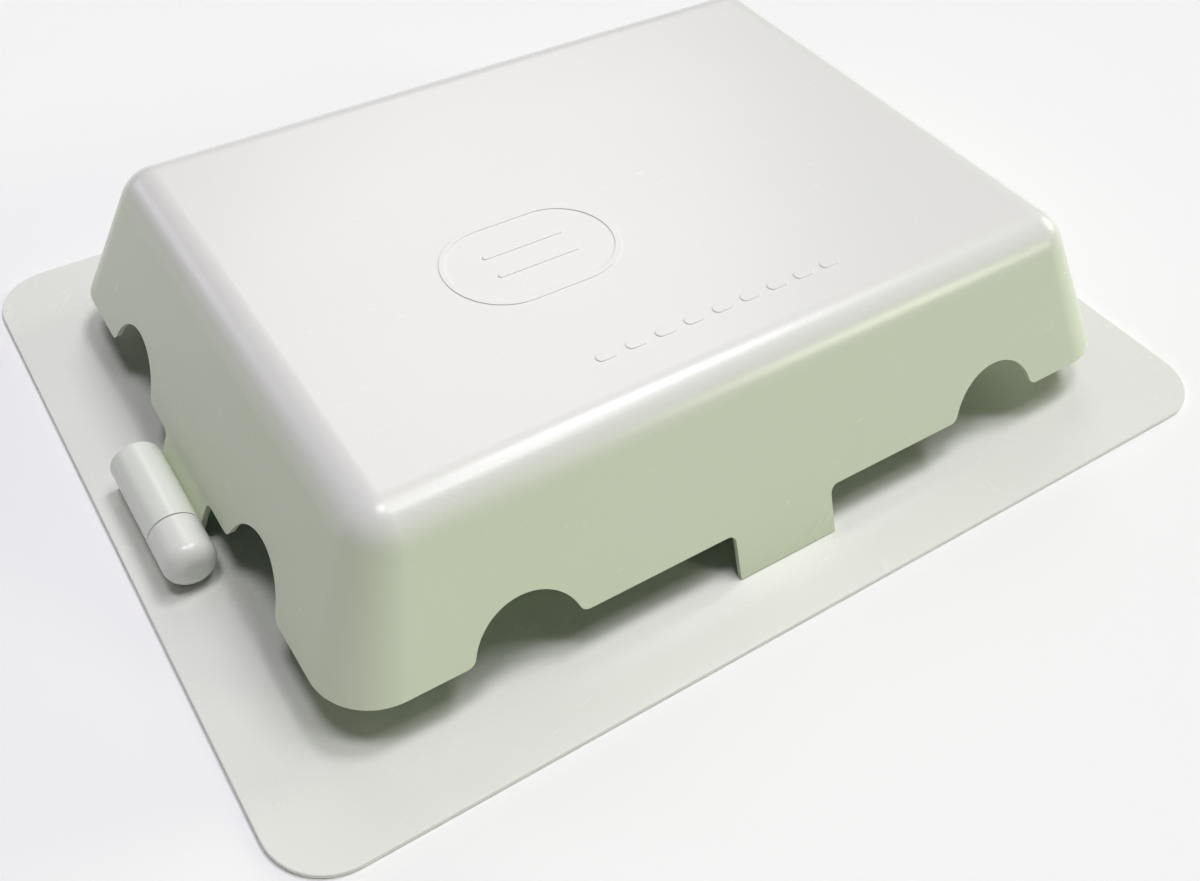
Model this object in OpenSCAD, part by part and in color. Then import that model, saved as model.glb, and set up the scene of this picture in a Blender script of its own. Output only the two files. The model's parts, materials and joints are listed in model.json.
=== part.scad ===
// Vented case for a floral foam brick: a flanged base plate, a drafted hood hinged on
// one short side, and a drip tray that holds a half-height foam brick on two anchors.
// +X runs along the long side away from the hinge, +Y across, +Z up.
// The origin is the centre of the base plate's underside.

/* [Base plate] */
// Length of the base plate
plate_l = 320; // [316:1:340]
// Width of the base plate
plate_w = 252; // [236:1:280]
// Thickness of the base plate
plate_t = 1.6; // [1.2:0.1:2]
// Corner radius of the base plate
plate_corner_r = 18; // [8:1:30]
// Height of the curb that keeps the tray in place
curb_h = 4; // [2:0.5:6]

/* [Hood] */
// Length of the hood over its rim
hood_l = 269; // [266:1:272]
// Width of the hood over its rim
hood_w = 202; // [196:1:210]
// Length of the hood at its top, where the drafted ends would meet it
hood_top_l = 231; // [228:1:234]
// Width of the hood at its top, where the drafted sides would meet it
hood_top_w = 167; // [160:1:172]
// Height of the hood's top above the floor
hood_h = 61; // [58:1:66]
// Height of the hood's rim above the floor
rim_z = 16; // [14:0.5:18]
// Wall thickness of the hood
hood_wall = 1.6; // [1.2:0.1:2]
// Rounding radius along the hood's top edge
top_edge_r = 13.5; // [10:0.5:15]
// Corner radius of the hood at its rim
rim_corner_r = 18; // [15:0.5:22]
// Depth of the ribs under the hood's top
rib_h = 4; // [2:0.5:8]

/* [Vents and tabs] */
// Width of a vent arch at the rim
arch_w = 31.6; // [26:0.2:34]
// Height of a vent arch above the rim
arch_h = 12.6; // [9:0.2:14]
// Distance of the long sides' arches from the middle
long_arch_x = 82; // [74:1:88]
// Distance of the short sides' arches from the middle
short_arch_y = 46; // [42:1:50]
// Rounding where an arch meets the rim
arch_edge_r = 3; // [1:0.5:4]
// Width of the tabs that stand on the base plate
tab_w = 34; // [28:1:38]
// Rounding in the corners beside a tab
tab_corner_r = 2.5; // [1:0.5:4]
// Gap between a tab and the base plate
tab_gap = 0.3; // [0.2:0.1:0.5]

/* [Hinge] */
// Outer radius of the hinge barrel
barrel_r = 7.5; // [6.5:0.1:8]
// Place across the hood where the barrel's open end lies
barrel_far_y = 16; // [14:0.5:18]
// Place across the hood where the barrel meets the hinge post
barrel_near_y = -15.5; // [-17:0.5:-14]
// Length of the hinge post
post_l = 15.7; // [12:0.1:18]
// Rounding of the hinge post's end
post_end_r = 5; // [3:0.5:6]
// Radius of the hinge pin
pin_r = 2.5; // [2:0.1:3]
// Running clearance around the hinge pin
pin_clear = 0.06; // [0.02:0.01:0.1]

/* [Latch] */
// Width of the latch tongue
tongue_w = 16; // [10:1:22]
// Thickness of the latch tongue
tongue_t = 1.6; // [1.2:0.1:2]
// Height of the catch that the tongue pushes into
catch_h = 6.4; // [5:0.2:8]

/* [Foam and tray] */
// Length of the foam brick
brick_l = 230; // [200:1:230]
// Width of the foam brick
brick_w = 110; // [90:1:110]
// Height of the foam brick
brick_h = 40; // [30:1:40]
// Wall and floor thickness of the tray
tray_wall = 1.6; // [1.2:0.1:2]
// Height of the tray
tray_h = 14; // [10:1:20]
// Distance of the foam anchors from the middle
anchor_x = 60; // [40:1:80]

/* [Hidden] */

$fn = 64;
eps = 0.01;                 // overrun of a cut past a face
body_gap = 0.3;             // gap between pieces that move past each other
hull_fn = 40;               // facets around the rounded forms that a hull joins

// The hood's walls lean in with height. Each function gives the outer face's distance
// from the middle at a height.
end_slope = (hood_l - hood_top_l) / 2 / (hood_h - rim_z);
side_slope = (hood_w - hood_top_w) / 2 / (hood_h - rim_z);
end_draft = atan(end_slope);
side_draft = atan(side_slope);
function end_x(z) = hood_l / 2 - end_slope * (z - rim_z);
function side_y(z) = hood_w / 2 - side_slope * (z - rim_z);

tab_z = plate_t + tab_gap;
edge_z = hood_h - top_edge_r;
corner_taper = (rim_corner_r - top_edge_r) / (edge_z - rim_z);
edge_x = end_x(edge_z) - top_edge_r / cos(end_draft);
edge_y = side_y(edge_z) - top_edge_r / cos(side_draft);
wall_run = hood_wall / cos(end_draft);
rib_t = 1.2;
rib_pitch_x = 60;           // between the ribs that run across
rib_y = 40;                 // of the two ribs that run lengthwise

// A vent arch is the part of a circle above the rim.
arch_r = (pow(arch_w / 2, 2) + pow(arch_h, 2)) / (2 * arch_h);
arch_z = rim_z + arch_h - arch_r;
foot_x = sqrt(pow(arch_r + arch_edge_r, 2) - pow(arch_edge_r + rim_z - arch_z, 2));
foot_z = rim_z - arch_z - arch_r * (rim_z - arch_z + arch_edge_r) / (arch_r + arch_edge_r);

// The barrel is sunk a little into the tab that carries it.
barrel_sink = 0.25;
hinge_z = plate_t + body_gap + barrel_r;
hinge_x = -(end_x(hinge_z) + (barrel_r - barrel_sink) / cos(end_draft));
hinge_tab_y = 0.25;         // middle of the hinge tab
hinge_tab_w = 31.5;
post_top_y = barrel_near_y - body_gap;
post_bore = 10;
post_foot_w = 11;
pin_head_r = 5;
pin_head_t = 1.3;
pin_head_sink = 1.8;        // depth of the seat for the pin's head
pin_recess = pin_head_sink - pin_head_t - body_gap;

tongue_x = 131;
tongue_clear = 0.4;
tongue_z = 3.2;
catch_floor = 1;
catch_side = 2.8;           // thickness of the catch beside its slot
catch_margin = 3;           // how far the catch runs past the tongue on each side
arm_h = 4;
arm_drop = 1;               // of the tongue's arm under the rim

tray_clear = 1;             // gap between the foam and the tray's wall
tray_in_l = brick_l + 2 * tray_clear;
tray_in_w = brick_w + 2 * tray_clear;
tray_l = tray_in_l + 2 * tray_wall;
tray_w = tray_in_w + 2 * tray_wall;
tray_corner_r = 5;
curb_t = 1.6;
curb_clear = 0.4;
brick_z = plate_t + tray_wall;

anchor_r = 15;
anchor_t = 1.2;
prong_r = 1.3;
prong_tip_r = 0.5;
prong_h = 16;
prong_ring_r = 9;
anchor_clear = 0.2;

// Raised marks on the top: an oval ring round two lines, and a row of short bars.
relief_h = 0.4;
ring_x = -31;
ring_y = -16;
ring_l = 54;
ring_w = 36;
ring_line = 1.8;
line_l = 26;
line_y = 4.5;               // of each line from the ring's middle
bar_count = 9;
bar_l = 6.4;
bar_w = 3.2;
bar_pitch = 9.4;
bar_x = 1.6;                // middle of the row of bars
bar_y = -62.5;

white = [0.93, 0.94, 0.92];
plate_white = [0.95, 0.96, 0.94];

// ---- shared shapes ----

module rounded_rect(l, w, r) {
    square([l - 2 * r, w], center = true);
    square([l, w - 2 * r], center = true);
    for (sx = [-1, 1], sy = [-1, 1]) {
        translate([sx * (l / 2 - r), sy * (w / 2 - r)]) circle(r);
    }
}

module rounded_ring(l, w, r, t) {
    difference() {
        rounded_rect(l, w, r);
        rounded_rect(l - 2 * t, w - 2 * t, r - t);
    }
}

// Solid form of the hood down to foot height z, drawn in by inset on every face.
module hood_form(inset, z) {
    foot_r = rim_corner_r + corner_taper * (rim_z - z) - inset / cos(end_draft);
    foot_l = end_x(z) - inset / cos(end_draft) - foot_r;
    foot_w = side_y(z) - inset / cos(side_draft) - foot_r;
    hull() {
        for (sx = [-1, 1], sy = [-1, 1]) {
            translate([sx * foot_l, sy * foot_w, z])
                cylinder(r = foot_r, h = eps, $fn = hull_fn);
            translate([sx * edge_x, sy * edge_y, edge_z])
                sphere(top_edge_r - inset, $fn = hull_fn);
        }
    }
}

// Outline of a tab under the rim, with round inner corners where it leaves the rim.
module tab_outline(w) {
    translate([-w / 2, -rim_z]) square([w, rim_z + eps]);
    for (s = [-1, 1]) {
        difference() {
            translate([s * (w + tab_corner_r) / 2, -tab_corner_r / 2])
                square([tab_corner_r, tab_corner_r + 2 * eps], center = true);
            translate([s * (w / 2 + tab_corner_r), -tab_corner_r]) circle(tab_corner_r);
        }
    }
}

// Outline of a vent arch, with round outer corners where it meets the rim.
module arch_outline() {
    translate([0, arch_z - rim_z]) circle(arch_r);
    difference() {
        translate([-foot_x, -arch_edge_r]) square([2 * foot_x, arch_edge_r + foot_z]);
        for (s = [-1, 1]) {
            translate([s * foot_x, arch_edge_r]) circle(arch_edge_r);
        }
    }
}

// Stands an outline up on the rim's height and runs it for len along +Y.
module run_along_y(len) {
    translate([0, len, rim_z]) rotate([90, 0, 0]) linear_extrude(len) children();
}

// ---- base ----

module base_plate() {
    color(plate_white) {
        linear_extrude(plate_t) rounded_rect(plate_l, plate_w, plate_corner_r);
        translate([0, 0, plate_t - eps]) linear_extrude(curb_h + eps) {
            rounded_ring(tray_l + 2 * (curb_clear + curb_t), tray_w + 2 * (curb_clear + curb_t),
                         tray_corner_r + curb_clear + curb_t, curb_t);
        }
    }
}

// Outline from the axis of the hinge post, which is turned about it.
module post_outline() {
    square([barrel_r, post_l - post_end_r]);
    square([barrel_r - post_end_r, post_l]);
    intersection() {
        translate([barrel_r - post_end_r, post_l - post_end_r]) circle(post_end_r);
        square([barrel_r, post_l]);
    }
}

module hinge_post() {
    foot_len = post_l - post_end_r;
    color(plate_white) difference() {
        union() {
            translate([hinge_x, post_top_y, hinge_z]) rotate([90, 0, 0])
                rotate_extrude() post_outline();
            translate([hinge_x - post_foot_w / 2, post_top_y - foot_len, plate_t])
                cube([post_foot_w, foot_len, hinge_z - plate_t]);
        }
        translate([hinge_x, post_top_y + eps, hinge_z])
            rotate([90, 0, 0]) cylinder(r = pin_r, h = post_bore + eps);
    }
}

module hinge_pin() {
    head_y = barrel_far_y - pin_recess;
    color("silver") {
        translate([hinge_x, head_y, hinge_z]) rotate([90, 0, 0]) {
            cylinder(r = pin_head_r, h = pin_head_t);
            cylinder(r = pin_r, h = head_y - post_top_y + post_bore);
        }
    }
}

module latch_catch() {
    slot = tongue_t + 2 * tongue_clear;
    catch_w = tongue_w + 2 * catch_margin;
    color(plate_white) difference() {
        translate([tongue_x - tongue_clear - catch_side, -catch_w / 2, plate_t])
            cube([slot + 2 * catch_side, catch_w, catch_h]);
        translate([tongue_x - tongue_clear, -catch_w, plate_t + catch_floor])
            cube([slot, 2 * catch_w, catch_h]);
    }
}

module foam_tray() {
    color("darkgreen") translate([0, 0, plate_t]) {
        linear_extrude(tray_wall) rounded_rect(tray_l, tray_w, tray_corner_r);
        linear_extrude(tray_h) rounded_ring(tray_l, tray_w, tray_corner_r, tray_wall);
    }
}

// One foam anchor: a round foot with four tapered prongs. grow widens it for its seat.
module anchor(side, grow) {
    translate([side * anchor_x, 0, brick_z]) {
        cylinder(r = anchor_r + grow, h = anchor_t + grow);
        for (a = [45:90:315]) {
            rotate(a) translate([prong_ring_r, 0, 0])
                cylinder(r1 = prong_r + grow, r2 = prong_tip_r + grow, h = prong_h + grow);
        }
    }
}

module left_anchor() {
    color("green") anchor(-1, 0);
}

module right_anchor() {
    color("green") anchor(1, 0);
}

module foam_brick() {
    color("olivedrab") difference() {
        translate([-brick_l / 2, -brick_w / 2, brick_z]) cube([brick_l, brick_w, brick_h]);
        for (side = [-1, 1]) {
            translate([0, 0, -eps]) anchor(side, anchor_clear);
        }
    }
}

// ---- hood ----

// Everything under the rim that isn't a tab.
module rim_cut() {
    reach = plate_l;
    difference() {
        translate([-reach / 2, -reach / 2, -eps]) cube([reach, reach, rim_z + eps]);
        translate([0, -reach / 2, 0]) run_along_y(reach) tab_outline(tab_w);
        rotate(-90) run_along_y(reach / 2) tab_outline(tab_w);
        translate([0, hinge_tab_y, 0]) rotate(90) run_along_y(reach / 2) tab_outline(hinge_tab_w);
    }
}

module arch_cuts() {
    reach = plate_l;
    for (x = [-long_arch_x, long_arch_x]) {
        translate([x, -reach / 2, 0]) run_along_y(reach) arch_outline();
    }
    for (y = [-short_arch_y, short_arch_y]) {
        translate([reach / 2, y, 0]) rotate(90) run_along_y(reach) arch_outline();
    }
}

// Grid of stiffening ribs under the top, trimmed to the inside of the hood.
module top_ribs() {
    rib_bottom = hood_h - hood_wall - rib_h;
    rib_top = rib_h + hood_wall;
    intersection() {
        hood_form(hood_wall / 2, rib_bottom);
        union() {
            for (x = [-rib_pitch_x:rib_pitch_x:rib_pitch_x]) {
                translate([x - rib_t / 2, -hood_w / 2, rib_bottom]) cube([rib_t, hood_w, rib_top]);
            }
            for (y = [-rib_y, rib_y]) {
                translate([-hood_l / 2, y - rib_t / 2, rib_bottom]) cube([hood_l, rib_t, rib_top]);
            }
        }
    }
}

module hood() {
    color(white) {
        difference() {
            hood_form(0, tab_z);
            hood_form(hood_wall, tab_z - hood_wall);
            rim_cut();
            arch_cuts();
        }
        top_ribs();
    }
}

module hinge_barrel() {
    color(white) difference() {
        translate([hinge_x, barrel_far_y, hinge_z])
            rotate([90, 0, 0]) cylinder(r = barrel_r, h = barrel_far_y - barrel_near_y);
        translate([hinge_x, barrel_far_y + eps, hinge_z]) rotate([90, 0, 0]) {
            cylinder(r = pin_r + pin_clear, h = barrel_far_y - barrel_near_y + 2 * eps);
            cylinder(r = pin_head_r + body_gap, h = pin_head_sink + eps);
        }
        // flat that lies on the hinge tab's outer face
        translate([-end_x(hinge_z) - eps, -plate_w / 2, hinge_z])
            rotate([0, end_draft, 0]) translate([0, 0, -barrel_r]) cube([barrel_r, plate_w, 2 * barrel_r]);
    }
}

module latch_tongue() {
    arm_top = rim_z - arm_drop;
    arm_bottom = arm_top - arm_h;
    color(white) translate([0, tongue_w / 2, 0]) rotate([90, 0, 0]) linear_extrude(tongue_w) {
        translate([tongue_x, tongue_z]) square([tongue_t, arm_top - tongue_z]);
        polygon([
            [tongue_x, arm_bottom],
            [end_x(arm_bottom) - wall_run, arm_bottom],
            [end_x(arm_top) - wall_run, arm_top],
            [tongue_x, arm_top]
        ]);
    }
}

module top_relief() {
    color(white) translate([0, 0, hood_h]) linear_extrude(relief_h) {
        translate([ring_x, ring_y]) {
            rounded_ring(ring_l, ring_w, ring_w / 2 - eps, ring_line);
            for (s = [-1, 1]) {
                translate([0, s * line_y]) rounded_rect(line_l, ring_line, ring_line / 2 - eps);
            }
        }
        for (i = [0:bar_count - 1]) {
            translate([bar_x + (i - (bar_count - 1) / 2) * bar_pitch, bar_y])
                rounded_rect(bar_l, bar_w, bar_w / 2 - eps);
        }
    }
}

base_plate();
hinge_post();
hinge_pin();
latch_catch();
foam_tray();
left_anchor();
right_anchor();
foam_brick();
hood();
hinge_barrel();
latch_tongue();
top_relief();
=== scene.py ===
import json
import math

import bmesh
import bpy
from mathutils import Matrix, Vector


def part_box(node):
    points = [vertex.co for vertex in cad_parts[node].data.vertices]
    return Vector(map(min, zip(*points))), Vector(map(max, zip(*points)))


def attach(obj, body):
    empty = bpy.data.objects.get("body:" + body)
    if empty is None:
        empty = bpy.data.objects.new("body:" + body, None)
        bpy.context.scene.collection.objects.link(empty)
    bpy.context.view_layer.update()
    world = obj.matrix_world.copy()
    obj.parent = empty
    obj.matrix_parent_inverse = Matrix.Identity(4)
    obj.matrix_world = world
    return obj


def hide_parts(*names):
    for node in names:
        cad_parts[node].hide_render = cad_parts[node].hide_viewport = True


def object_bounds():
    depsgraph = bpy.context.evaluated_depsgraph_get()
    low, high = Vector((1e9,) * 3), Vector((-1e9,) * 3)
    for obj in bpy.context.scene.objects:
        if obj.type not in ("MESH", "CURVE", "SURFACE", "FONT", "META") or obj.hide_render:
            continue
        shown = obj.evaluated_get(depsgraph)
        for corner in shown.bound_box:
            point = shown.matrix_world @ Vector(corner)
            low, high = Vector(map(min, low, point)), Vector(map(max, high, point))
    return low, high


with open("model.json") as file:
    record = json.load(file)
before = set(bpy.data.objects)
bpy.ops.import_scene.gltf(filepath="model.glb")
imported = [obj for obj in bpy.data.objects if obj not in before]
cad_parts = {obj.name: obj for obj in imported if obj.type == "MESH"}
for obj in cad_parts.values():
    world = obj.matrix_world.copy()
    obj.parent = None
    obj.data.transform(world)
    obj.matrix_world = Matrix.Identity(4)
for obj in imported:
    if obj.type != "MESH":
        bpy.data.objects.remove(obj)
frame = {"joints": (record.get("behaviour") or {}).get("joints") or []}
cad_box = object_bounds()
MM = 0.001

# ---- Base plate -------------------------------------------------------------------
# A thin flanged sheet of white polypropylene with large round corners. Its edge is
# slightly rounded by the mould, and a low curb on top keeps the drip tray in place.

class Value:
    """A socket that can be used in Python sums; each sum adds a Math node."""

    def __init__(self, finish, socket):
        self.finish, self.socket = finish, socket

    def sum(self, operation, *terms):
        return self.finish.add("ShaderNodeMath", {"operation": operation}, dict(enumerate(terms)))

    def __add__(self, other):
        return self.sum("ADD", self, other)

    def __sub__(self, other):
        return self.sum("SUBTRACT", self, other)

    def __rsub__(self, other):
        return self.sum("SUBTRACT", other, self)

    def __mul__(self, other):
        return self.sum("MULTIPLY", self, other)

    __radd__, __rmul__ = __add__, __mul__

    def clip(self, low, high):
        """0 below low, 1 above high and even between."""
        return self.finish.add("ShaderNodeMapRange", {"clamp": True, "interpolation_type": "SMOOTHSTEP"},
                               {"Value": self, "From Min": low, "From Max": high})


class Finish:
    """A surface finish: one material, and one way of adding nodes to it."""

    def __init__(self, name, **sockets):
        self.material = bpy.data.materials.new(name)
        self.material.use_nodes = True
        self.tree = self.material.node_tree
        self.shader = self.tree.nodes["Principled BSDF"]
        self.feed(self.shader, {key.replace("_", " "): value for key, value in sockets.items()})
        self.place = self.add("ShaderNodeTexCoord", {}, {}, "Object")

    def feed(self, node, sockets):
        for key, value in sockets.items():
            if isinstance(value, Value):
                self.tree.links.new(value.socket, node.inputs[key])
            else:
                node.inputs[key].default_value = value

    def add(self, kind, settings, sockets, output=0):
        """Adds a node: its type, its settings, then the values or links of its sockets."""
        node = self.tree.nodes.new(kind)
        for key, value in settings.items():
            setattr(node, key, value)
        self.feed(node, sockets)
        return Value(self, node.outputs[output])

    def noise(self, size, detail=2.0, roughness=0.5, stretch=(1, 1, 1)):
        """Cloudy pattern with patches of about this size, from 0 to 1."""
        place = self.place
        if stretch != (1, 1, 1):
            place = self.add("ShaderNodeMapping", {}, {"Vector": place, "Scale": stretch})
        return self.add("ShaderNodeTexNoise", {}, {"Vector": place, "Scale": 1 / size,
                                                   "Detail": detail, "Roughness": roughness})

    def level(self):
        """The height of a point above the table, with the case shut."""
        return self.add("ShaderNodeSeparateXYZ", {}, {"Vector": self.place}, "Z")

    def blend(self, amount, first, second):
        """Goes from the first colour to the second."""
        return self.add("ShaderNodeMix", {"data_type": "RGBA"}, {0: amount, 6: first, 7: second}, 2)

    def paint(self, colour, roughness=None, height=None, depth=0.1 * MM):
        """Puts the finished colour, roughness and surface relief on the shader."""
        if height is not None:
            bump = self.add("ShaderNodeBump", {}, {"Height": height, "Strength": 1.0, "Distance": depth})
            self.feed(self.shader, {"Normal": bump})
        self.feed(self.shader, {"Base Color": colour})
        if roughness is not None:
            self.feed(self.shader, {"Roughness": roughness})


def moulded_white(name, bright, deep, grain, top=None, **sockets):
    """White moulded plastic with faint clouding, mould grain, soft scuffs and, low down, a
    little dust. Where a top is given, the colour is painted paler and more neutral towards that height:
    painted light for the top."""
    finish = Finish(name, **sockets)
    clouds = finish.noise(60 * MM, detail=3.0)
    speck = finish.noise(0.9 * MM, detail=1.0)
    scuffs = finish.noise(7 * MM, detail=5.0, roughness=0.7, stretch=(1, 4, 1)).clip(0.62, 0.74)
    z = finish.level()
    patches = finish.noise(14 * MM, detail=6.0, roughness=0.65).clip(0.4, 0.85)
    dust = (1 - z.clip(4 * MM, 26 * MM)) * patches
    tone = clouds * 0.45 + speck * 0.25 + dust * 0.05
    colour = finish.blend(tone, bright, deep)
    if top is not None:
        # Painted light: near the top the colour is blended paler and more neutral, standing for the stronger
        # light that falls on the top.
        painted_top_light = z.clip(top - 10 * MM, top - 1 * MM)
        colour = finish.blend(painted_top_light * 0.9, colour, (0.88, 0.87, 0.86, 1))
    roughness = 0.22 + clouds * 0.07 + scuffs * 0.04 + dust * 0.03
    height = finish.noise(grain, detail=2.0) * 0.35
    height = height + finish.noise(45 * MM, detail=1.0) * 2.4 - scuffs * 0.02
    finish.paint(colour, roughness, height, depth=0.06 * MM)
    return finish


def clear_selection():
    if bpy.context.object and bpy.context.object.mode == "EDIT":
        bpy.ops.object.mode_set(mode="OBJECT")
    bpy.ops.object.select_all(action="DESELECT")


def start_piece(add, name, **where):
    """Adds a primitive with nothing else selected, names it and opens it for shaping."""
    clear_selection()
    add(**where)
    piece = bpy.context.object
    piece.name = piece.data.name = name
    bpy.ops.object.transform_apply(location=True, rotation=True, scale=True)
    bpy.ops.object.mode_set(mode="EDIT")
    return piece


def pick(piece, kind, wanted):
    """Selects the faces by middle and normal, or the edges by middle and direction."""
    bpy.ops.mesh.select_mode(type=kind)
    bpy.ops.mesh.select_all(action="DESELECT")
    mesh = bmesh.from_edit_mesh(piece.data)
    if kind == "FACE":
        for face in mesh.faces:
            face.select_set(wanted(face.calc_center_median(), face.normal))
    else:
        for edge in mesh.edges:
            a, b = (v.co for v in edge.verts)
            edge.select_set(wanted((a + b) / 2, (b - a).normalized()))
    mesh.select_flush_mode()
    bmesh.update_edit_mesh(piece.data)


class Moulding:
    """A rounded rectangle drawn out ring by ring: half length, half width, corner, height."""

    def __init__(self, name, rings, corner_steps=12, middle=(0, 0)):
        self.middle = middle
        self.ring = half_l, half_w, corner, z = rings[0]
        self.piece = start_piece(bpy.ops.mesh.primitive_plane_add, name, size=1, location=(*middle, z))
        bpy.ops.mesh.select_mode(type="VERT")
        bpy.ops.mesh.select_all(action="SELECT")
        bpy.ops.transform.resize(value=(2 * half_l, 2 * half_w, 1), center_override=(*middle, z))
        bpy.ops.mesh.bevel(offset=corner, segments=corner_steps, affect="VERTICES", clamp_overlap=False)
        bpy.ops.mesh.select_all(action="SELECT")
        for ring in rings[1:]:
            self.draw_to(*ring)

    def draw_to(self, half_l, half_w, corner, z):
        old_l, old_w, old_corner, old_z = self.ring
        self.ring = half_l, half_w, corner, z
        bpy.ops.mesh.extrude_region_move(TRANSFORM_OT_translate={"value": (0, 0, z - old_z)})
        mesh = bmesh.from_edit_mesh(self.piece.data)
        cap = [v.index for v in mesh.verts if v.select]
        for sx in (-1, 1):
            for sy in (-1, 1):
                self.choose([i for i in cap if self.beside(i, sx, sy)])
                pivot = (self.middle[0] + sx * (old_l - old_corner),
                         self.middle[1] + sy * (old_w - old_corner), z)
                if old_corner > 0 and corner != old_corner:
                    scale = corner / old_corner
                    bpy.ops.transform.resize(value=(scale, scale, 1), center_override=pivot)
                shift = (sx * (half_l - corner - old_l + old_corner),
                         sy * (half_w - corner - old_w + old_corner), 0)
                bpy.ops.transform.translate(value=shift)
        self.choose(cap)

    def beside(self, index, sx, sy):
        mesh = bmesh.from_edit_mesh(self.piece.data)
        mesh.verts.ensure_lookup_table()
        spot = mesh.verts[index].co
        return (spot.x - self.middle[0]) * sx > 0 and (spot.y - self.middle[1]) * sy > 0

    def choose(self, corners):
        mesh = bmesh.from_edit_mesh(self.piece.data)
        wanted = set(corners)
        for vert in mesh.verts:
            vert.select_set(vert.index in wanted)
        mesh.select_flush_mode()
        bmesh.update_edit_mesh(self.piece.data)


def rounded_edge(half_l, half_w, corner, z, radius, way, steps=3):
    """Rings round an edge of this radius. The ring given is the full size, reached at z:
    way 1 rises to a top face, way -1 rises from an underside."""
    rings = []
    for step in range(steps + 1):
        angle = math.pi / 2 * (step / steps if way > 0 else 1 - step / steps)
        back = radius * (1 - math.cos(angle))
        rings.append((half_l - back, half_w - back, corner - back, z + way * radius * math.sin(angle)))
    return rings


def inner_edge(half_l, half_w, corner, z, radius, way, steps=3):
    """Rings round the inner edge of a rim: way -1 goes down from the rim's top, and way 1
    goes down into a floor."""
    rings = []
    for step in range(steps + 1):
        angle = math.pi / 2 * step / steps
        if way < 0:
            back = radius * (1 - math.sin(angle))
            rings.append((half_l + back, half_w + back, corner + back, z - radius * (1 - math.cos(angle))))
        else:
            back = radius * (1 - math.cos(angle))
            rings.append((half_l - back, half_w - back, corner - back, z - radius * math.sin(angle)))
    return rings


def settle(piece):
    """Merges the seams of a closed form and turns its faces outwards."""
    if bpy.context.object.mode == "EDIT" and bpy.context.object != piece:
        clear_selection()
    bpy.context.view_layer.objects.active = piece
    bpy.ops.object.mode_set(mode="EDIT")
    bpy.ops.mesh.select_mode(type="VERT")
    bpy.ops.mesh.select_all(action="SELECT")
    bpy.ops.mesh.remove_doubles(threshold=0.002 * MM)
    bpy.ops.mesh.select_all(action="SELECT")
    bpy.ops.mesh.normals_make_consistent(inside=False)
    bpy.ops.object.mode_set(mode="OBJECT")


def finish_piece(piece, finish, body, node, angle=35):
    """Smooths the piece, gives it its finish and its body, and hides the CAD solid it stands for."""
    clear_selection()
    bpy.context.view_layer.objects.active = piece
    piece.select_set(True)
    bpy.ops.object.shade_smooth_by_angle(angle=math.radians(angle))
    weight = piece.modifiers.new("even_shading", "WEIGHTED_NORMAL")
    weight.keep_sharp = True
    bpy.ops.object.modifier_apply(modifier=weight.name)
    piece.data.materials.clear()
    piece.data.materials.append(finish.material)
    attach(piece, body)
    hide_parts(node)
    clear_selection()


PLASTIC_IOR = 1.52
base_white = moulded_white("base_polypropylene", (0.88, 0.89, 0.84, 1), (0.82, 0.84, 0.77, 1),
                           grain=0.7 * MM, IOR=PLASTIC_IOR)

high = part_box("base_plate")[1]
PLATE_L, PLATE_W = high.x, high.y
PLATE_T, PLATE_CORNER, PLATE_EDGE = 1.6 * MM, 18 * MM, 0.4 * MM
CURB_L, CURB_W, CURB_CORNER, CURB_T = 119.6 * MM, 59.6 * MM, 7 * MM, 1.6 * MM
CURB_FOOT, CURB_FLARE = 0.5 * MM, 0.15 * MM
curb_in = CURB_L - CURB_T, CURB_W - CURB_T, CURB_CORNER - CURB_T
sheet = Moulding("base_sheet", [
    *rounded_edge(PLATE_L, PLATE_W, PLATE_CORNER, PLATE_EDGE, PLATE_EDGE, -1),
    *rounded_edge(PLATE_L, PLATE_W, PLATE_CORNER, PLATE_T - PLATE_EDGE, PLATE_EDGE, 1),
    (CURB_L + CURB_FOOT, CURB_W + CURB_FOOT, CURB_CORNER + CURB_FOOT, PLATE_T),
    (CURB_L + CURB_FLARE, CURB_W + CURB_FLARE, CURB_CORNER + CURB_FLARE, PLATE_T + CURB_FLARE),
    (CURB_L, CURB_W, CURB_CORNER, PLATE_T + CURB_FOOT),
    *rounded_edge(CURB_L, CURB_W, CURB_CORNER, high.z - PLATE_EDGE, PLATE_EDGE, 1),
    *inner_edge(*curb_in, high.z, PLATE_EDGE, -1),
    *inner_edge(*curb_in, PLATE_T + CURB_FOOT, CURB_FOOT, 1),
])
settle(sheet.piece)
finish_piece(sheet.piece, base_white, "base", "base_plate")

# ---- Hinge post ---------------------------------------------------------------------
# The fixed half of the hinge, moulded in one with the base: a short round post with a
# well rounded end on a narrow foot. The pin is pressed into its blind hole.

class Turning:
    """A round form drawn out ring by ring along the Y or Z axis: radius, place on it."""

    def __init__(self, name, rings, middle, along="Y", steps=64):
        self.along, self.middle = along, middle
        self.radius, self.spot = rings[0]
        turn = (math.pi / 2, 0, 0) if along == "Y" else (0, 0, 0)
        self.piece = start_piece(bpy.ops.mesh.primitive_circle_add, name, vertices=steps, radius=self.radius,
                                 fill_type="NGON", location=self.point(self.spot), rotation=turn)
        bpy.ops.mesh.select_mode(type="VERT")
        bpy.ops.mesh.select_all(action="SELECT")
        for radius, spot in rings[1:]:
            step = Vector(self.point(spot)) - Vector(self.point(self.spot))
            bpy.ops.mesh.extrude_region_move(TRANSFORM_OT_translate={"value": step})
            scale = radius / self.radius
            size = (scale, 1, scale) if along == "Y" else (scale, scale, 1)
            bpy.ops.transform.resize(value=size, center_override=self.point(spot))
            self.radius, self.spot = radius, spot

    def point(self, spot):
        first, second = self.middle
        return (first, spot, second) if self.along == "Y" else (first, second, spot)


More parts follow.
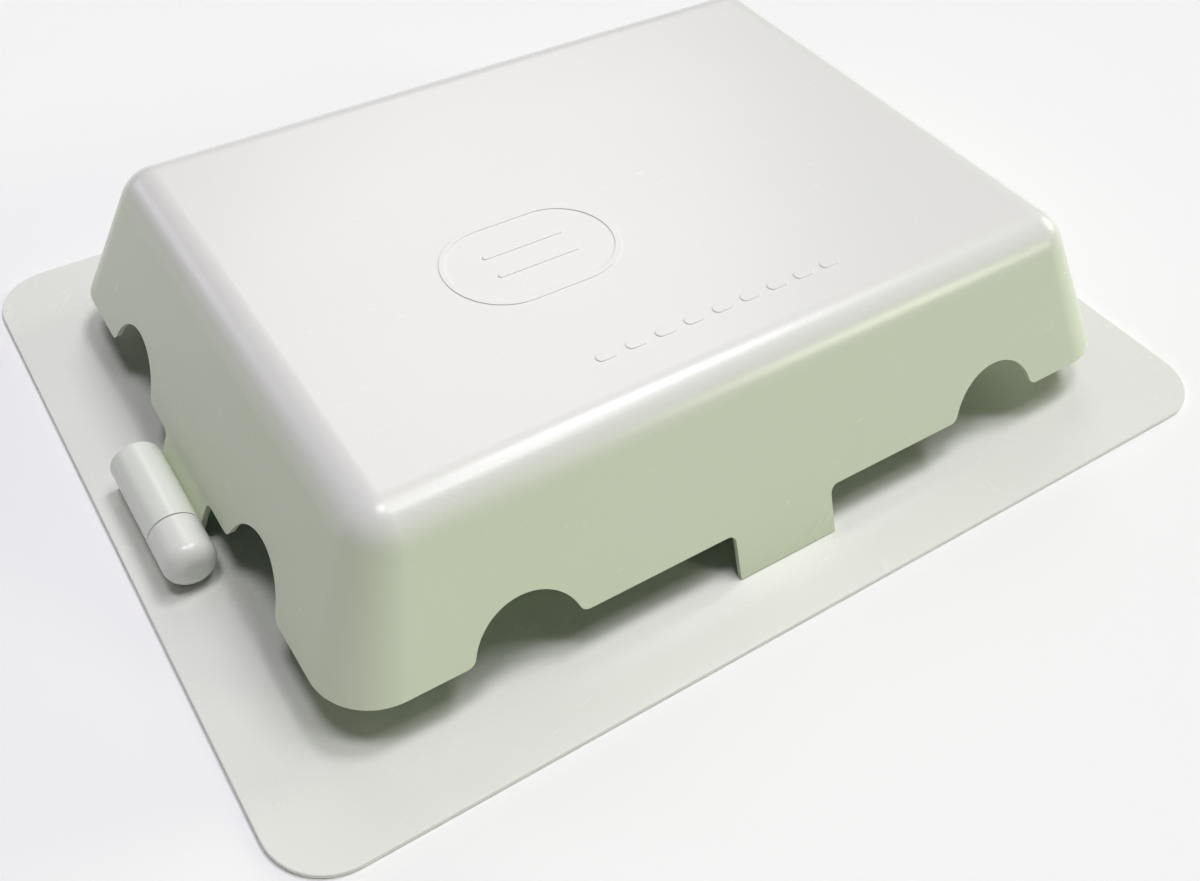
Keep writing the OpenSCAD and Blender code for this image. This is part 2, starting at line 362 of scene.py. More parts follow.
def arc_rings(radius, spot, rounding, start, stop, way, steps):
    """Rings round an edge: the arc's angle runs from start to stop, 0 at the full radius."""
    rings = []
    for step in range(steps + 1):
        angle = math.radians(start + (stop - start) * step / steps)
        rings.append((radius - rounding * (1 - math.cos(angle)), spot + way * rounding * math.sin(angle)))
    return rings


def add_solid(piece, other, operation="UNION"):
    """Joins the other solid to the piece or cuts it away, and removes the other."""
    clear_selection()
    bpy.context.view_layer.objects.active = piece
    piece.select_set(True)
    work = piece.modifiers.new("solid", "BOOLEAN")
    work.object, work.operation, work.solver = other, operation, "EXACT"
    bpy.ops.object.modifier_apply(modifier=work.name)
    bpy.data.objects.remove(other)


hinge_place = frame["joints"][0]["pos_m"]
AXIS_X, AXIS_Z = hinge_place[0], hinge_place[2]
AXIS = AXIS_X, AXIS_Z
low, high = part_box("hinge_post")
POST_R, POST_END_R, POST_BORE, POST_BORE_END = high.z - AXIS_Z, 5 * MM, 2.5 * MM, -25.8 * MM
EDGE = 0.3 * MM
post = Turning("fixed_hinge_post", [
    (POST_BORE, POST_BORE_END),
    (POST_BORE, high.y - EDGE), (POST_BORE + EDGE, high.y), (POST_R - EDGE, high.y),
    *arc_rings(POST_R, high.y - EDGE, EDGE, 60, 0, 1, 2),
    *arc_rings(POST_R, low.y + POST_END_R, POST_END_R, 0, 90, -1, 10),
], AXIS)
FOOT_HALF_L, FOOT_CORNER, FOOT_FLARE, FOOT_TOP, FOOT_SINK = 5.5 * MM, 0.5 * MM, 0.7 * MM, 8 * MM, 0.05 * MM
foot_half_w = (high.y - low.y - POST_END_R) / 2
foot = Moulding("post_foot", [
    (FOOT_HALF_L + FOOT_FLARE, foot_half_w, FOOT_CORNER, PLATE_T - FOOT_SINK),
    (FOOT_HALF_L + FOOT_FLARE * 0.3, foot_half_w, FOOT_CORNER, PLATE_T + FOOT_FLARE * 0.3),
    (FOOT_HALF_L, foot_half_w, FOOT_CORNER, PLATE_T + FOOT_FLARE),
    (FOOT_HALF_L, foot_half_w, FOOT_CORNER, FOOT_TOP),
], corner_steps=3, middle=(AXIS_X, high.y - foot_half_w))
settle(post.piece)
settle(foot.piece)
add_solid(post.piece, foot.piece)
finish_piece(post.piece, base_white, "base", "hinge_post")

# ---- Latch catch --------------------------------------------------------------------
# A slotted block moulded on the base plate. The hood's tongue pushes down into the
# slot, whose top edges are chamfered to lead it in.

low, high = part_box("latch_catch")
SLOT_HALF, CATCH_FLOOR, LEAD_IN = 1.2 * MM, 1 * MM, 0.7 * MM
catch_mid = (low.x + high.x) / 2
catch = start_piece(bpy.ops.mesh.primitive_cube_add, "slotted_catch", size=1,
                    location=(catch_mid, 0, low.z + CATCH_FLOOR / 2))
bpy.ops.transform.resize(value=(high.x - low.x, high.y - low.y, CATCH_FLOOR),
                         center_override=(catch_mid, 0, low.z + CATCH_FLOOR / 2))
for side in (-1, 1):
    bpy.ops.mesh.select_all(action="SELECT")
    bpy.ops.mesh.bisect(plane_co=(catch_mid + side * SLOT_HALF, 0, 0), plane_no=(1, 0, 0))
pick(catch, "FACE", lambda mid, normal: normal.z > 0.9 and abs(mid.x - catch_mid) > SLOT_HALF)
bpy.ops.mesh.extrude_region_move(TRANSFORM_OT_translate={"value": (0, 0, high.z - low.z - CATCH_FLOOR)})
pick(catch, "EDGE", lambda mid, way: abs(way.y) > 0.9 and mid.z > high.z - EDGE
     and abs(abs(mid.x - catch_mid) - SLOT_HALF) < EDGE)
bpy.ops.mesh.bevel(offset=LEAD_IN, segments=1)
pick(catch, "EDGE", lambda mid, way: mid.z > low.z + EDGE and abs(mid.x - catch_mid) > SLOT_HALF + EDGE)
bpy.ops.mesh.bevel(offset=EDGE, segments=2)
settle(catch)
finish_piece(catch, base_white, "base", "latch_catch")

# ---- Drip tray ----------------------------------------------------------------------
# A shallow dark green tray of thin glossy plastic with a rolled bead round its lip. It
# lies inside the curb and holds the water that the foam gives up.

def glossy_green(name):
    """Dark green plastic with a water-worn gloss: dull lime marks low down, fine scratches."""
    finish = Finish(name, IOR=1.5)
    clouds = finish.noise(30 * MM, detail=3.0)
    marks = finish.noise(9 * MM, detail=5.0, roughness=0.65).clip(0.52, 0.66)
    lines = finish.noise(2 * MM, detail=2.0, stretch=(0.05, 1, 1)).clip(0.6, 0.8)
    z = finish.level()
    lime = marks * (1 - z.clip(4 * MM, 13 * MM))
    green = finish.blend(clouds, (0.012, 0.075, 0.030, 1), (0.022, 0.110, 0.045, 1))
    colour = finish.blend(lime * 0.35, green, (0.30, 0.36, 0.28, 1))
    roughness = 0.20 + clouds * 0.12 + lime * 0.35 + lines * 0.12
    height = finish.noise(1.2 * MM) * 0.3 + clouds * 2.0 - lines * 0.15
    finish.paint(colour, roughness, height, depth=0.05 * MM)
    return finish


low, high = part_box("foam_tray")
TRAY_CORNER, TRAY_WALL, BEAD, BEAD_H = 5 * MM, 1.6 * MM, 0.5 * MM, 1.8 * MM
FOOT_ROUND, BEAD_OUT_R, BEAD_IN_R, FLOOR_R = 1.2 * MM, 0.9 * MM, 0.7 * MM, 1 * MM
lip = high.x + BEAD, high.y + BEAD, TRAY_CORNER + BEAD
tray_in = high.x - TRAY_WALL, high.y - TRAY_WALL, TRAY_CORNER - TRAY_WALL
tray = Moulding("drip_tray", [
    *rounded_edge(high.x, high.y, TRAY_CORNER, low.z + FOOT_ROUND, FOOT_ROUND, -1, 4),
    (high.x, high.y, TRAY_CORNER, high.z - BEAD_H - BEAD),
    (high.x + BEAD * 0.5, high.y + BEAD * 0.5, TRAY_CORNER + BEAD * 0.5, high.z - BEAD_H - BEAD * 0.75),
    (*lip, high.z - BEAD_H),
    *rounded_edge(*lip, high.z - BEAD_OUT_R, BEAD_OUT_R, 1, 4),
    *inner_edge(*tray_in, high.z, BEAD_IN_R, -1),
    *inner_edge(*tray_in, low.z + TRAY_WALL + FLOOR_R, FLOOR_R, 1, 4),
])
tray_green = glossy_green("tray_green_gloss")
settle(tray.piece)
finish_piece(tray.piece, tray_green, "base", "foam_tray")

# ---- Foam anchors -------------------------------------------------------------------
# Two green plastic anchors that stand on the tray's floor. Each is a round foot with
# four tapered prongs, on which the foam brick is pushed down.

anchor_green = Finish("anchor_green", IOR=1.5)
anchor_clouds = anchor_green.noise(8 * MM, detail=3.0)
anchor_green.paint(anchor_green.blend(anchor_clouds, (0.045, 0.20, 0.06, 1), (0.08, 0.28, 0.09, 1)),
                   0.38 + anchor_clouds * 0.15, anchor_green.noise(0.6 * MM), depth=0.04 * MM)

low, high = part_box("left_anchor")
ANCHOR_X, ANCHOR_R, ANCHOR_T = (low.x + high.x) / 2, (high.x - low.x) / 2, 1.2 * MM
PRONG_R, PRONG_TIP_R, PRONG_RING_R, PRONG_ROOT = 1.3 * MM, 0.5 * MM, 9 * MM, 0.8 * MM
foot_top = low.z + ANCHOR_T
anchor = Turning("left_foam_anchor", [
    (ANCHOR_R - EDGE, low.z), (ANCHOR_R, low.z + EDGE),
    *arc_rings(ANCHOR_R, foot_top - 0.5 * MM, 0.5 * MM, 0, 90, 1, 3),
    (ANCHOR_R * 0.3, foot_top), (ANCHOR_R * 0.24, foot_top - 0.4 * MM),
], (ANCHOR_X, 0), along="Z", steps=48)
settle(anchor.piece)
for quarter in range(4):
    turn = math.radians(45 + 90 * quarter)
    prong_x = ANCHOR_X + PRONG_RING_R * math.cos(turn)
    prong = Turning("prong", [
        (PRONG_R, low.z + 0.4 * MM), (PRONG_R + PRONG_ROOT, foot_top - 0.1 * MM),
        (PRONG_R + PRONG_ROOT * 0.3, foot_top + 0.3 * MM), (PRONG_R, foot_top + PRONG_ROOT),
        (PRONG_TIP_R, high.z - 0.3 * MM), (PRONG_TIP_R * 0.5, high.z),
    ], (prong_x, PRONG_RING_R * math.sin(turn)), along="Z", steps=20)
    settle(prong.piece)
    add_solid(anchor.piece, prong.piece)
clear_selection()
anchor.piece.select_set(True)
bpy.context.view_layer.objects.active = anchor.piece
bpy.ops.object.duplicate()
right_anchor = bpy.context.object
right_anchor.name = right_anchor.data.name = "right_foam_anchor"
bpy.ops.object.mode_set(mode="EDIT")
bpy.ops.mesh.select_all(action="SELECT")
bpy.ops.transform.translate(value=(-2 * ANCHOR_X, 0, 0))
bpy.ops.object.mode_set(mode="OBJECT")
finish_piece(anchor.piece, anchor_green, "base", "left_anchor")
finish_piece(right_anchor, anchor_green, "base", "right_anchor")

# ---- Foam brick ---------------------------------------------------------------------
# A brick of fine-celled green floral foam, sawn to half height so that the hood closes
# over it. Its faces are open-celled and slightly uneven and its edges crumble.

low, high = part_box("foam_brick")
BRICK_CORNER, BRICK_EDGE, CELL, UNEVEN = 2 * MM, 1.5 * MM, 1.8 * MM, 0.5 * MM
brick = Moulding("floral_foam_block", [
    *rounded_edge(high.x, high.y, BRICK_CORNER, low.z + BRICK_EDGE, BRICK_EDGE, -1),
    *rounded_edge(high.x, high.y, BRICK_CORNER, high.z - BRICK_EDGE, BRICK_EDGE, 1),
], corner_steps=4)
settle(brick.piece)
cells = brick.piece.modifiers.new("cells", "REMESH")
cells.mode, cells.voxel_size = "VOXEL", CELL
bpy.ops.object.modifier_apply(modifier=cells.name)
for size, depth in ((22 * MM, UNEVEN), (3.2 * MM, UNEVEN * 0.5)):
    crumble = bpy.data.textures.new("crumble", "CLOUDS")
    crumble.noise_scale = size
    push = brick.piece.modifiers.new("uneven", "DISPLACE")
    push.texture, push.strength, push.mid_level, push.texture_coords = crumble, depth, 1.0, "LOCAL"
    bpy.ops.object.modifier_apply(modifier=push.name)

foam_green = Finish("floral_foam", Specular_IOR_Level=0.15, Sheen_Weight=0.25, Sheen_Roughness=0.6,
                    Sheen_Tint=(0.55, 0.80, 0.50, 1))
pores = foam_green.add("ShaderNodeTexVoronoi", {"feature": "F1"},
                       {"Vector": foam_green.place, "Scale": 1 / (1.1 * MM), "Randomness": 1.0}, "Distance")
pore_pits_and_shade = 1 - pores.clip(0.10, 0.55)
foam_clouds = foam_green.noise(24 * MM, detail=4.0)
crumbs = foam_green.noise(2.4 * MM, detail=4.0, roughness=0.7)
dry = foam_green.noise(50 * MM, detail=5.0, roughness=0.6).clip(0.45, 0.75)
leaf = foam_green.blend(foam_clouds * 0.7 + crumbs * 0.3, (0.070, 0.230, 0.085, 1), (0.130, 0.340, 0.130, 1))
worn = foam_green.blend(dry * 0.45, leaf, (0.26, 0.46, 0.22, 1))
# The pores are painted darker: painted shade in the open cells, where the bump also sinks pits.
foam_green.paint(foam_green.blend(pore_pits_and_shade * 0.55, worn, (0.030, 0.120, 0.045, 1)),
                 0.88 + crumbs * 0.1, crumbs * 0.9 - pore_pits_and_shade * 1.0, depth=0.35 * MM)
finish_piece(brick.piece, foam_green, "base", "foam_brick", angle=180)

# ---- Hood ---------------------------------------------------------------------------
# A deep drafted cover of white plastic, injection moulded with an even wall, a rounded
# top edge, two vent arches in each side and a tab in the middle of each side.

class Outline:
    """A flat outline drawn point by point at one depth, to be filled and run through."""

    def __init__(self, name, across, depth, start):
        self.across = across
        self.spot = start
        self.depth = depth
        self.piece = start_piece(bpy.ops.mesh.primitive_plane_add, name, size=1, location=self.point(start))
        bpy.ops.mesh.select_mode(type="VERT")
        bpy.ops.mesh.select_all(action="SELECT")
        bpy.ops.mesh.merge(type="CENTER")

    def point(self, spot):
        return (spot[0], self.depth, spot[1]) if self.across == "X" else (self.depth, spot[0], spot[1])

    def line_to(self, *spot):
        step = Vector(self.point(spot)) - Vector(self.point(self.spot))
        bpy.ops.mesh.extrude_vertices_move(TRANSFORM_OT_translate={"value": step})
        self.spot = spot

    def arc(self, middle, degrees, steps):
        """Goes round the middle, anticlockwise seen with the height upwards."""
        axis = (0, 1, 0) if self.across == "X" else (-1, 0, 0)
        bpy.ops.mesh.spin(steps=steps, angle=math.radians(degrees), center=self.point(middle), axis=axis)
        turn = math.radians(degrees)
        u, v = self.spot[0] - middle[0], self.spot[1] - middle[1]
        self.spot = (middle[0] + u * math.cos(turn) - v * math.sin(turn),
                     middle[1] + u * math.sin(turn) + v * math.cos(turn))

    def run_to(self, depth):
        bpy.ops.mesh.select_all(action="SELECT")
        bpy.ops.mesh.remove_doubles(threshold=0.002 * MM)
        bpy.ops.mesh.edge_face_add()
        run = (0, depth - self.depth, 0) if self.across == "X" else (depth - self.depth, 0, 0)
        bpy.ops.mesh.extrude_region_move(TRANSFORM_OT_translate={"value": run})
        settle(self.piece)
        return self.piece


# The raised marks stand on the flat top, so their underside gives its height.
TOP_Z, TAB_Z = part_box("top_relief")[0].z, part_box("hood")[0].z
RIM_Z, WALL = 16 * MM, 1.6 * MM
TOP_R, RIM_CORNER = 13.5 * MM, 18 * MM
END_RIM, END_LEAN, SIDE_RIM, SIDE_LEAN = 134.5 * MM, 19 / 45, 101 * MM, 17.5 / 45
ROUND_Z = TOP_Z - TOP_R
CORNER_TAPER = (RIM_CORNER - TOP_R) / (ROUND_Z - RIM_Z)
ROUND_X = END_RIM - END_LEAN * (ROUND_Z - RIM_Z) - TOP_R / math.cos(math.atan(END_LEAN))
ROUND_Y = SIDE_RIM - SIDE_LEAN * (ROUND_Z - RIM_Z) - TOP_R / math.cos(math.atan(SIDE_LEAN))
UNDER = -4 * MM
ROUND_STEPS = 14


def wall_ring(z):
    """The hood's outer face at a height under the rounded edge."""
    return (END_RIM - END_LEAN * (z - RIM_Z), SIDE_RIM - SIDE_LEAN * (z - RIM_Z),
            RIM_CORNER - CORNER_TAPER * (z - RIM_Z), z)


def round_ring(share):
    """The hood's outer face round its top edge, from where the walls end to the flat top."""
    start = math.atan(END_LEAN)
    angle = start + (math.pi / 2 - start) * share
    reach = TOP_R * math.cos(angle) if share < 1 else 0.0
    return ROUND_X + reach, ROUND_Y + reach, reach, ROUND_Z + TOP_R * math.sin(angle)


hood = Moulding("vented_hood", [
    wall_ring(UNDER),
    *[round_ring(step / ROUND_STEPS) for step in range(ROUND_STEPS + 1)],
], corner_steps=16)
settle(hood.piece)
bpy.ops.object.mode_set(mode="EDIT")
pick(hood.piece, "FACE", lambda mid, normal: mid.z < UNDER + EDGE)
bpy.ops.mesh.delete(type="FACE")
bpy.ops.object.mode_set(mode="OBJECT")
thicken = hood.piece.modifiers.new("wall", "SOLIDIFY")
thicken.thickness, thicken.offset, thicken.use_even_offset = WALL, -1, True
bpy.ops.object.modifier_apply(modifier=thicken.name)

# Thin ribs under the top keep it flat. They run out into the rounded edge.
RIB_T, RIB_LOW, RIB_TOP, RIB_Y, RIB_X = 1.2 * MM, 55.4 * MM, 60.2 * MM, 40 * MM, 60 * MM
RIB_REACH, RIB_SLOPE, CROSS_RIB_LIFT = 9.9 * MM, 5.5 * MM, 0.2 * MM
for half_l, half_w, x, y, bottom in (
        [(ROUND_X + RIB_REACH, RIB_T / 2, 0, s * RIB_Y, RIB_LOW) for s in (-1, 1)]
        + [(RIB_T / 2, ROUND_Y + RIB_REACH, s * RIB_X, 0, RIB_LOW + CROSS_RIB_LIFT) for s in (-1, 0, 1)]):
    rib_mid = (x, y, (bottom + RIB_TOP) / 2)
    rib = start_piece(bpy.ops.mesh.primitive_cube_add, "rib", size=1, location=rib_mid)
    bpy.ops.transform.resize(value=(2 * half_l, 2 * half_w, RIB_TOP - bottom), center_override=rib_mid)
    pick(rib, "FACE", lambda mid, normal: normal.z > 0.9)
    long = max(half_l, half_w)
    shrink = (long - RIB_SLOPE) / long
    bpy.ops.transform.resize(value=(shrink if half_l > half_w else 1, shrink if half_w > half_l else 1, 1),
                             center_override=(x, y, RIB_TOP))
    bpy.ops.object.mode_set(mode="OBJECT")
    add_solid(hood.piece, rib)

# Everything below the rim that isn't a tab is cut away, the vent arches with it.
ARCH_Z, ARCH_EDGE_R, FOOT_X = 12.394 * MM, 3 * MM, 18.03 * MM
LONG_ARCH_X, SHORT_ARCH_Y, TAB_HALF, TAB_ROUND = 82 * MM, 46 * MM, 17 * MM, 2.5 * MM
foot_turn = 90 - math.degrees(math.atan2(RIM_Z + ARCH_EDGE_R - ARCH_Z, FOOT_X))


def draw_arch(line, middle):
    """A vent arch with a rounded foot on each side."""
    line.line_to(middle - FOOT_X, RIM_Z)
    line.arc((middle - FOOT_X, RIM_Z + ARCH_EDGE_R), foot_turn, 5)
    line.arc((middle, ARCH_Z), -2 * foot_turn, 36)
    line.arc((middle + FOOT_X, RIM_Z + ARCH_EDGE_R), foot_turn, 5)


def cut_side(across, near, far, arches, tab_low, tab_high, reach):
    """Cuts one side of the hood to its rim, arches and tab."""
    line = Outline("side_cut", across, near, (-reach, UNDER * 2))
    line.line_to(-reach, RIM_Z)
    draw_arch(line, -arches)
    line.line_to(tab_low - TAB_ROUND, RIM_Z)
    line.arc((tab_low - TAB_ROUND, RIM_Z - TAB_ROUND), -90, 5)
    line.line_to(tab_low, TAB_Z)
    line.line_to(tab_high, TAB_Z)
    line.line_to(tab_high, RIM_Z - TAB_ROUND)
    line.arc((tab_high + TAB_ROUND, RIM_Z - TAB_ROUND), -90, 5)
    draw_arch(line, arches)
    line.line_to(reach, RIM_Z)
    line.line_to(reach, UNDER * 2)
    line.line_to(-reach, UNDER * 2)
    add_solid(hood.piece, line.run_to(far), "DIFFERENCE")


# How near and far from the middle each cut runs, and how far it reaches to either side.
LONG_CUT, LONG_REACH = (70 * MM, 140 * MM), 160 * MM
SHORT_CUT, SHORT_REACH = (100 * MM, 160 * MM), 72 * MM
HINGE_TAB = -15.5 * MM, 16 * MM
for side in (-1, 1):
    cut_side("X", side * LONG_CUT[0], side * LONG_CUT[1], LONG_ARCH_X, -TAB_HALF, TAB_HALF, LONG_REACH)
    tab = (-TAB_HALF, TAB_HALF) if side > 0 else HINGE_TAB
    cut_side("Y", side * SHORT_CUT[0], side * SHORT_CUT[1], SHORT_ARCH_Y, *tab, SHORT_REACH)

soften = hood.piece.modifiers.new("edges", "BEVEL")
soften.width, soften.segments = 0.35 * MM, 2
soften.limit_method, soften.angle_limit = "ANGLE", math.radians(40)
clear_selection()
bpy.context.view_layer.objects.active = hood.piece
hood.piece.select_set(True)
bpy.ops.object.modifier_apply(modifier=soften.name)
# The hood's walls are painted a greener tint than its plastic. This is painted light, standing for the
# greenish light on them, and the top is painted paler.
hood_white_painted_light = moulded_white("hood_plastic_painted_light", (0.77, 0.83, 0.65, 1), (0.71, 0.78, 0.58, 1),
                           grain=0.8 * MM, top=cad_box[1][2], IOR=PLASTIC_IOR)
finish_piece(hood.piece, hood_white_painted_light, "cover", "hood")

# ---- Hinge barrel -------------------------------------------------------------------
# The moving half of the hinge: a thick tube moulded on the hood's hinge tab. Its bore
# runs on the pin, and a wider seat at the open end takes the pin's head.

low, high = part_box("hinge_barrel")
BARREL_R, BORE_R, SEAT_R, SEAT_DEEP, FAR_ROUND = 7.5 * MM, 2.56 * MM, 5.3 * MM, 1.8 * MM, 0.8 * MM
barrel = Turning("hinge_tube", [
    (BORE_R, low.y + EDGE), (BORE_R + EDGE, low.y),
    *arc_rings(BARREL_R, low.y + EDGE, EDGE, 90, 0, -1, 2),
    *arc_rings(BARREL_R, high.y - FAR_ROUND, FAR_ROUND, 0, 90, 1, 5),
    (SEAT_R + EDGE, high.y), (SEAT_R, high.y - EDGE),
    (SEAT_R, high.y - SEAT_DEEP), (BORE_R, high.y - SEAT_DEEP),
], AXIS)
bore_l = high.y - SEAT_DEEP - low.y - EDGE
bpy.ops.mesh.extrude_region_move(TRANSFORM_OT_translate={"value": (0, -bore_l, 0)})
bpy.ops.mesh.delete(type="ONLY_FACE")
pick(barrel.piece, "FACE", lambda mid, normal: abs(mid.y - low.y - EDGE) < 0.01 * MM
     and (Vector((mid.x, mid.z)) - Vector(AXIS)).length < 0.1 * MM)
bpy.ops.mesh.delete(type="ONLY_FACE")
settle(barrel.piece)
tube_white = moulded_white("tube_polypropylene", (0.86, 0.89, 0.82, 1), (0.80, 0.84, 0.75, 1),
                           grain=0.8 * MM, IOR=PLASTIC_IOR)
finish_piece(barrel.piece, tube_white, "cover", "hinge_barrel")

# ---- Hinge pin ----------------------------------------------------------------------
# A plain steel pin with a low domed head. It is pushed through the barrel and pressed
# into the fixed post, and its head lies in the barrel's seat.

steel = Finish("drawn_steel", Metallic=1.0)
draw_marks = steel.noise(0.5 * MM, detail=3.0, stretch=(1, 0.03, 1))
tarnish = steel.noise(3 * MM, detail=4.0).clip(0.55, 0.75)
steel.paint(steel.blend(tarnish * 0.5, (0.60, 0.61, 0.62, 1), (0.36, 0.34, 0.31, 1)),
            0.24 + draw_marks * 0.16 + tarnish * 0.2, draw_marks, depth=0.01 * MM)

low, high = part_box("hinge_pin")
PIN_R, HEAD_R, HEAD_T = 2.5 * MM, 5 * MM, 1.3 * MM
pin = Turning("steel_pin", [
    (HEAD_R * 0.3, high.y), (HEAD_R * 0.72, high.y - 0.12 * MM), (HEAD_R * 0.9, high.y - 0.35 * MM),
    (HEAD_R, high.y - 0.7 * MM), (HEAD_R, high.y - HEAD_T + 0.1 * MM), (HEAD_R - 0.1 * MM, high.y - HEAD_T),
    (PIN_R, high.y - HEAD_T), (PIN_R, low.y + 0.5 * MM), (PIN_R - 0.4 * MM, low.y),
], AXIS, steps=48)
settle(pin.piece)
finish_piece(pin.piece, steel, "base", "hinge_pin")

# ---- Latch tongue -------------------------------------------------------------------
# A springy blade moulded inside the hood's free end wall on a short arm. It pushes down
# into the catch's slot and holds the hood shut.

low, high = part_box("latch_tongue")
BLADE_T, ARM_Z, TIP, ARM_SINK, ARM_EDGE = 1.6 * MM, 11 * MM, 0.45 * MM, 0.3 * MM, 0.2 * MM
lean = math.atan(END_LEAN)


def inner_wall(z):
    """The inner face of the hood's free end, sunk in a little so that the arm joins it."""
    return END_RIM - END_LEAN * (z - RIM_Z) - WALL / math.cos(lean) + ARM_SINK


blade_mid = (low.x + BLADE_T / 2, 0, (low.z + high.z) / 2)
tongue = start_piece(bpy.ops.mesh.primitive_cube_add, "latch_blade", size=1, location=blade_mid)
bpy.ops.transform.resize(value=(BLADE_T, high.y - low.y, high.z - low.z), center_override=blade_mid)
bpy.ops.mesh.select_all(action="SELECT")
bpy.ops.mesh.bisect(plane_co=(0, 0, ARM_Z), plane_no=(0, 0, 1))
pick(tongue, "FACE", lambda mid, normal: normal.x > 0.9 and mid.z > ARM_Z)
arm_l = inner_wall(ARM_Z) - low.x - BLADE_T
bpy.ops.mesh.extrude_region_move(TRANSFORM_OT_translate={"value": (arm_l, 0, 0)})
pick(tongue, "EDGE", lambda mid, way: abs(way.y) > 0.9 and mid.x > inner_wall(ARM_Z) - EDGE
     and mid.z > ARM_Z + EDGE)
bpy.ops.transform.translate(value=(inner_wall(high.z) - inner_wall(ARM_Z), 0, 0))
pick(tongue, "EDGE", lambda mid, way: abs(way.y) > 0.9 and mid.z < low.z + EDGE)
bpy.ops.mesh.bevel(offset=TIP, segments=2)
pick(tongue, "EDGE", lambda mid, way: abs(way.x) < 0.5 and mid.x < low.x + BLADE_T + EDGE
     and (abs(way.z) > 0.9 or mid.z > high.z - EDGE))
bpy.ops.mesh.bevel(offset=ARM_EDGE, segments=2)
settle(tongue)
finish_piece(tongue, hood_white_painted_light, "cover", "latch_tongue")

# ---- Raised marks -------------------------------------------------------------------
# Low raised marks moulded on the hood's top: an oval ring round two lines, and a row of
# short bars along the front. They stand for no maker and spell nothing.

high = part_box("top_relief")[1]
MARK_EDGE, MARK_SINK, MARK_HEIGHT = 0.2 * MM, 0.1 * MM, 0.6
# The marks are shown at this share of the solid's height, so that they stay faint.
mark_top = TOP_Z + (high.z - TOP_Z) * MARK_HEIGHT
RING_X, RING_Y, RING_L, RING_W, RING_LINE = -31 * MM, -16 * MM, 27 * MM, 18 * MM, 1.8 * MM
LINE_HALF_L, LINE_HALF_W, LINE_Y = 13 * MM, 0.9 * MM, 4.5 * MM
BAR_HALF_L, BAR_HALF_W, BAR_X, BAR_Y, BAR_PITCH = 3.2 * MM, 1.6 * MM, 1.6 * MM, -62.5 * MM, 9.4 * MM
FLAT = 0.01 * MM  # left flat between two round corners
ring_out = RING_L, RING_W, RING_W - FLAT
ring_in = RING_L - RING_LINE, RING_W - RING_LINE, RING_W - RING_LINE - FLAT
ring = Moulding("raised_marks", [
    (*ring_out, TOP_Z - MARK_SINK),
    *rounded_edge(*ring_out, mark_top - MARK_EDGE, MARK_EDGE, 1),
    *inner_edge(*ring_in, mark_top, MARK_EDGE, -1),
    (*ring_in, TOP_Z - MARK_SINK),
], corner_steps=16, middle=(RING_X, RING_Y))
bpy.ops.mesh.delete(type="ONLY_FACE")
pick(ring.piece, "FACE", lambda mid, normal: normal.z < -0.9)
bpy.ops.mesh.delete(type="ONLY_FACE")
pick(ring.piece, "EDGE", lambda mid, way: mid.z < TOP_Z - MARK_SINK / 2)
bpy.ops.mesh.bridge_edge_loops()
settle(ring.piece)


def bar(half_l, half_w, x, y):
    """One rounded bar, joined to the ring."""
    outline = half_l, half_w, half_w - FLAT
    mark = Moulding("bar", [
        (*outline, TOP_Z - MARK_SINK),
        *rounded_edge(*outline, mark_top - MARK_EDGE, MARK_EDGE, 1),
    ], corner_steps=6, middle=(x, y))
    settle(mark.piece)
    clear_selection()
    mark.piece.select_set(True)
    ring.piece.select_set(True)
    bpy.context.view_layer.objects.active = ring.piece
    bpy.ops.object.join()


for side in (-1, 1):
    bar(LINE_HALF_L, LINE_HALF_W, RING_X, RING_Y + side * LINE_Y)
for place in range(-4, 5):
    bar(BAR_HALF_L, BAR_HALF_W, BAR_X + BAR_PITCH * place, BAR_Y)
finish_piece(ring.piece, hood_white_painted_light, "cover", "top_relief")

# ---- Floor, light and camera --------------------------------------------------------
# A plain pale floor in a pale room, under wide soft studio lamps so far off that their light
# is even: three overhead, one high at the back, two low on the right, a faint one behind.

clear_selection()
FLOOR_SIDE = 24  # metres, so that its edge lies at the horizon
bpy.ops.mesh.primitive_plane_add(size=FLOOR_SIDE, location=(0, 0, 0))
floor = bpy.context.object
floor.name = "floor"
floor_paint = Finish("pale_floor", Roughness=0.9)
floor_paint.paint(floor_paint.blend(floor_paint.noise(300 * MM), (1, 1, 1, 1), (0.97, 0.97, 0.97, 1)))
floor.data.materials.append(floor_paint.material)

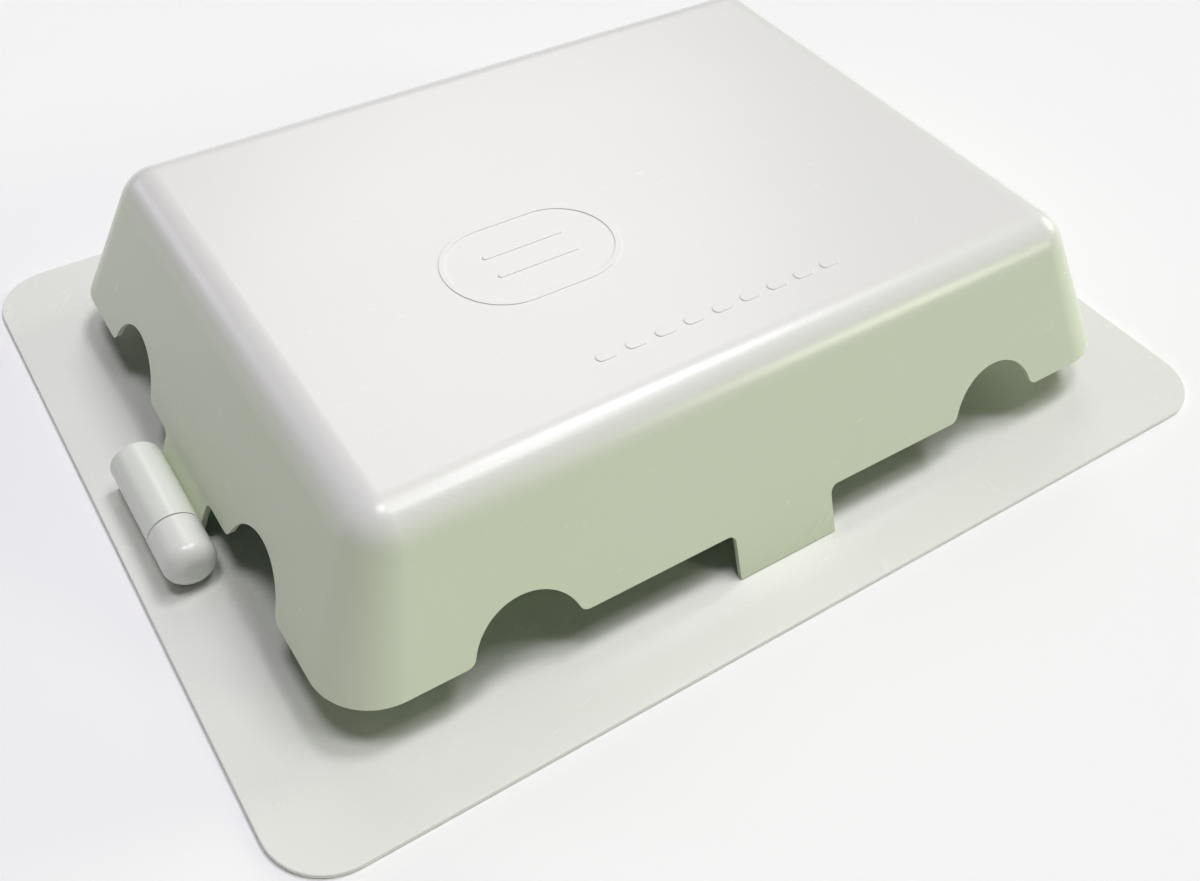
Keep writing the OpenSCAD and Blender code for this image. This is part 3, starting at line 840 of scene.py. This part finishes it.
# The direction each lamp stands in, its width as an angle, its strength and its colour.
for name, place, width, strength, colour in (
        ("overhead", (0.0, 0.02, 1.0), 15, 0.85, (0.97, 0.95, 1.0)),
        ("overhead_right", (0.43, 0.09, 0.90), 15, 0.98, (0.97, 0.95, 1.0)),
        ("overhead_front", (0.30, -0.18, 0.94), 13, 0.46, (0.97, 0.96, 1.0)),
        ("high_back", (0.37, 0.66, 0.66), 27, 0.42, (0.97, 0.95, 1.0)),
        ("right", (0.94, 0.0, 0.33), 21, 0.68, (0.95, 1.0, 0.76)),
        ("front_right", (0.60, -0.71, 0.37), 14, 0.42, (0.88, 1.0, 0.66)),
        ("back_left", (-0.43, 0.80, 0.43), 14, 0.11, (0.94, 0.90, 1.0))):
    bpy.ops.object.light_add(type="SUN", location=place)
    lamp = bpy.context.object
    lamp.name = name
    lamp.rotation_euler = (-Vector(place)).to_track_quat("-Z", "Y").to_euler()
    lamp.data.angle, lamp.data.energy, lamp.data.color = math.radians(width), strength, colour

# The room lights the scene only faintly, and is seen as a pale wall past the floor.
room = bpy.data.worlds.new("room")
room.use_nodes = True
nodes, links = room.node_tree.nodes, room.node_tree.links
faint = nodes["Background"]
faint.inputs["Color"].default_value, faint.inputs["Strength"].default_value = (0.97, 0.97, 1.0, 1), 0.04
wall, seen, mix = (nodes.new("ShaderNode" + kind) for kind in ("Background", "LightPath", "MixShader"))
wall.inputs["Color"].default_value = (0.92, 0.92, 0.93, 1)
links.new(seen.outputs["Is Camera Ray"], mix.inputs[0])
links.new(faint.outputs[0], mix.inputs[1])
links.new(wall.outputs[0], mix.inputs[2])
links.new(mix.outputs[0], nodes["World Output"].inputs["Surface"])
bpy.context.scene.world = room

# The camera's place and aim in metres, its roll in degrees, and its lens in millimetres.
CAMERA_PLACE, CAMERA_AIM = (-0.17450, -0.25961, 0.28163), (-0.03463, -0.05951, 0.0256)
CAMERA_ROLL, CAMERA_LENS, CAMERA_SENSOR = 2.718, 37.79, 36
bpy.ops.object.camera_add(location=CAMERA_PLACE)
camera = bpy.context.object
look = (Vector(CAMERA_AIM) - Vector(CAMERA_PLACE)).to_track_quat("-Z", "Y").to_matrix().to_4x4()
roll = Matrix.Rotation(math.radians(CAMERA_ROLL), 4, "Z")
camera.matrix_world = Matrix.Translation(CAMERA_PLACE) @ look @ roll
camera.data.lens, camera.data.sensor_width = CAMERA_LENS, CAMERA_SENSOR
camera.data.clip_start = 10 * MM
bpy.context.scene.camera = camera
bpy.context.scene.view_settings.view_transform = "Standard"
